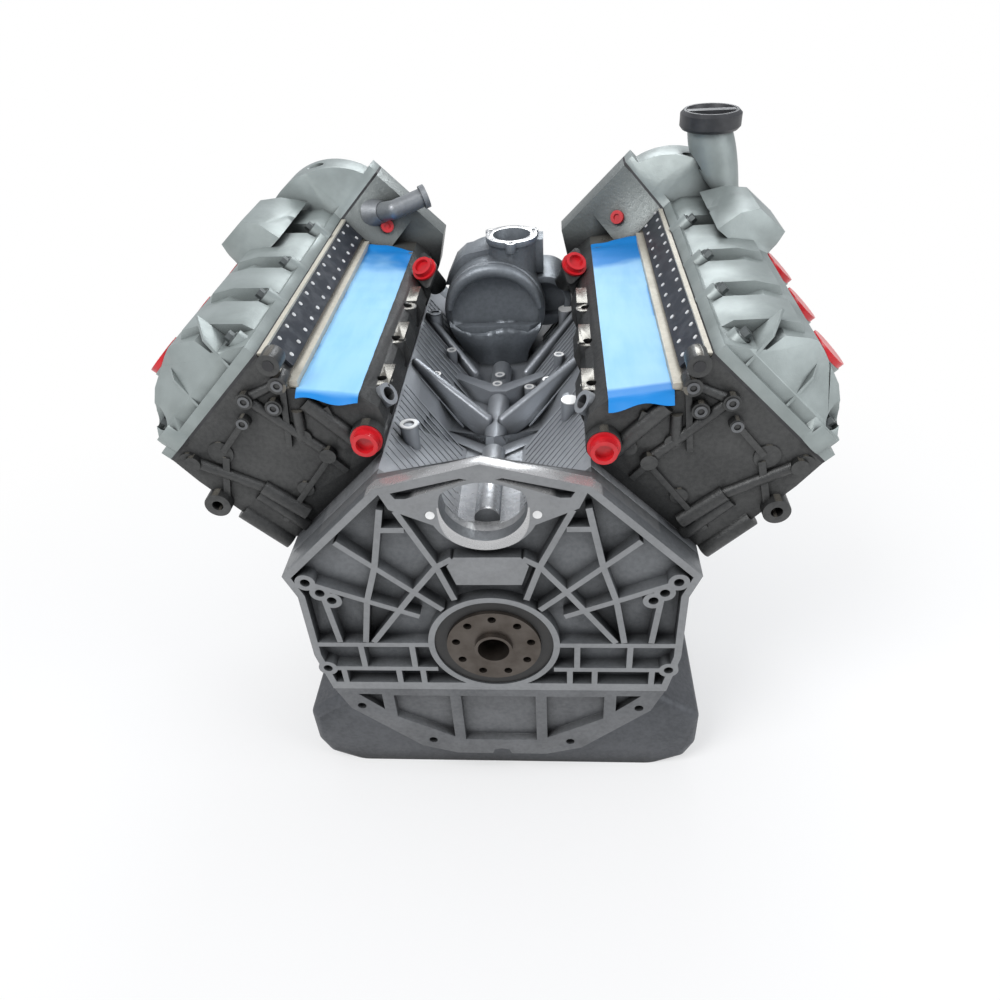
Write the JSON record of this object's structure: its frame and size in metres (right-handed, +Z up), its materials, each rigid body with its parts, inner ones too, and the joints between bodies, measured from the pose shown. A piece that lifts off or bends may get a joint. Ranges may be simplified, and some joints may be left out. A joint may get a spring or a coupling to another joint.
{
  "type": "v8 petrol engine",
  "caption": "V8 petrol engine long block: ribbed bell-housing face, crankshaft, pistons, twin overhead camshafts on each bank, cam covers, timing drive and sump.",
  "frame": {"origin": "centre of the crankshaft's rear flange face", "axes": "+Z up, +Y along the crankshaft to the engine's front, +X to the right bank"},
  "size_m": [0.7128, 0.589, 0.6913],
  "materials": {
    "cast_aluminium": "as cast, matte",
    "head_aluminium": "as cast, matte",
    "cover_magnesium": "satin coated",
    "machined_aluminium": "machined",
    "sump_aluminium": "as cast, matte",
    "forged_steel": "machined, lightly browned",
    "spring_steel": "plain",
    "bearing_metal": "smooth",
    "bolt_steel": "zinc plated",
    "chain_steel": "oiled",
    "black_rubber": "matte",
    "seal_rubber": "satin",
    "gasket_layers": "matte",
    "red_plastic": "semi-gloss",
    "black_plastic": "matte",
    "blue_film": "glossy film",
    "dark_plate": "satin",
    "guide_plastic": "satin",
    "plug_ceramic": "glazed"
  },
  "bodies": {
    "engine": {"bell_housing_wall": "cast_aluminium", "cam_bearing_caps": "machined_aluminium", "cam_cover_bolts": "bolt_steel", "cam_cover_gasket_left": "black_rubber", "cam_cover_gasket_right": "black_rubber", "cam_cover_left": "cover_magnesium", "cam_cover_right": "cover_magnesium", "chain_guides": "guide_plastic", "coil_well_caps": "red_plastic", "coolant_elbow": "cast_aluminium", "coolant_outlet_housing": "cast_aluminium", "cylinder_block": "cast_aluminium", "cylinder_head_left": "head_aluminium", "cylinder_head_right": "head_aluminium", "drain_plug": "bolt_steel", "exhaust_valves": "spring_steel", "front_coolant_plugs": "red_plastic", "front_timing_cover": "cast_aluminium", "head_gasket_left": "gasket_layers", "head_gasket_right": "gasket_layers", "injector_plate_left": "dark_plate", "injector_plate_right": "dark_plate", "intake_valves": "spring_steel", "lower_sump": "sump_aluminium", "main_bearing_caps": "cast_aluminium", "main_bearing_shells": "bearing_metal", "oil_filler_neck": "cover_magnesium", "port_film_left": "blue_film", "port_film_right": "blue_film", "rear_arch": "cast_aluminium", "rear_coolant_plugs": "red_plastic", "rear_main_seal": "seal_rubber", "spark_plugs": "plug_ceramic", "tappets": "spring_steel", "timing_chain_left": "chain_steel", "timing_chain_right": "chain_steel", "upper_sump": "machined_aluminium", "valve_springs": "spring_steel"},
    "crank": {"crankshaft": "forged_steel", "crank_sprocket": "chain_steel", "crankshaft_pulley": "black_rubber", "crankshaft_bolt": "bolt_steel"},
    "cam_right_exhaust": {"camshaft_right_exhaust": "forged_steel", "cam_sprocket_right_exhaust": "chain_steel"},
    "cam_right_intake": {"camshaft_right_intake": "forged_steel", "cam_sprocket_right_intake": "chain_steel"},
    "piston_right_1_body": {"piston_right_1": "machined_aluminium"},
    "piston_right_2_body": {"piston_right_2": "machined_aluminium"},
    "piston_right_3_body": {"piston_right_3": "machined_aluminium"},
    "piston_right_4_body": {"piston_right_4": "machined_aluminium"},
    "cam_left_exhaust": {"camshaft_left_exhaust": "forged_steel", "cam_sprocket_left_exhaust": "chain_steel"},
    "cam_left_intake": {"camshaft_left_intake": "forged_steel", "cam_sprocket_left_intake": "chain_steel"},
    "piston_left_1_body": {"piston_left_1": "machined_aluminium"},
    "piston_left_2_body": {"piston_left_2": "machined_aluminium"},
    "piston_left_3_body": {"piston_left_3": "machined_aluminium"},
    "piston_left_4_body": {"piston_left_4": "machined_aluminium"},
    "filler_cap": {"oil_filler_cap": "black_plastic"}
  },
  "joints": [
    {"name": "crank_spin", "type": "hinge", "parent": "engine", "child": "crank", "pos_m": [0, 0, 0], "axis": [0, 1, 0], "continuous": true},
    {"name": "cam_right_exhaust_spin", "type": "hinge", "parent": "engine", "child": "cam_right_exhaust", "pos_m": [0.28708, 0.2, 0.22203], "axis": [0, 1, 0], "continuous": true},
    {"name": "cam_right_intake_spin", "type": "hinge", "parent": "engine", "child": "cam_right_intake", "pos_m": [0.22203, 0.2, 0.28708], "axis": [0, 1, 0], "continuous": true},
    {"name": "piston_right_1_slide", "type": "slide", "parent": "engine", "child": "piston_right_1_body", "axis": [0.7071, 0, 0.7071], "range_m": [-0.093, 0]},
    {"name": "piston_right_2_slide", "type": "slide", "parent": "engine", "child": "piston_right_2_body", "axis": [0.7071, 0, 0.7071], "range_m": [-0.03916, 0.05384]},
    {"name": "piston_right_3_slide", "type": "slide", "parent": "engine", "child": "piston_right_3_body", "axis": [0.7071, 0, 0.7071], "range_m": [-0.03916, 0.05384]},
    {"name": "piston_right_4_slide", "type": "slide", "parent": "engine", "child": "piston_right_4_body", "axis": [0.7071, 0, 0.7071], "range_m": [0, 0.093]},
    {"name": "cam_left_exhaust_spin", "type": "hinge", "parent": "engine", "child": "cam_left_exhaust", "pos_m": [-0.28708, 0.2, 0.22203], "axis": [0, 1, 0], "continuous": true},
    {"name": "cam_left_intake_spin", "type": "hinge", "parent": "engine", "child": "cam_left_intake", "pos_m": [-0.22203, 0.2, 0.28708], "axis": [0, 1, 0], "continuous": true},
    {"name": "piston_left_1_slide", "type": "slide", "parent": "engine", "child": "piston_left_1_body", "axis": [-0.7071, 0, 0.7071], "range_m": [-0.03916, 0.05384]},
    {"name": "piston_left_2_slide", "type": "slide", "parent": "engine", "child": "piston_left_2_body", "axis": [-0.7071, 0, 0.7071], "range_m": [0, 0.093]},
    {"name": "piston_left_3_slide", "type": "slide", "parent": "engine", "child": "piston_left_3_body", "axis": [-0.7071, 0, 0.7071], "range_m": [-0.093, 0]},
    {"name": "piston_left_4_slide", "type": "slide", "parent": "engine", "child": "piston_left_4_body", "axis": [-0.7071, 0, 0.7071], "range_m": [-0.03916, 0.05384]},
    {"name": "filler_cap_turn", "type": "hinge", "parent": "engine", "child": "filler_cap", "pos_m": [0.262, 0.468, 0.434], "axis": [0, 0, 1], "range_deg": [0, 90]}
  ],
  "couplings": [
    {"joint": "cam_right_exhaust_spin", "follows": "crank_spin", "ratio": 0.5},
    {"joint": "cam_right_intake_spin", "follows": "crank_spin", "ratio": 0.5},
    {"joint": "cam_left_exhaust_spin", "follows": "crank_spin", "ratio": 0.5},
    {"joint": "cam_left_intake_spin", "follows": "crank_spin", "ratio": 0.5}
  ]
}
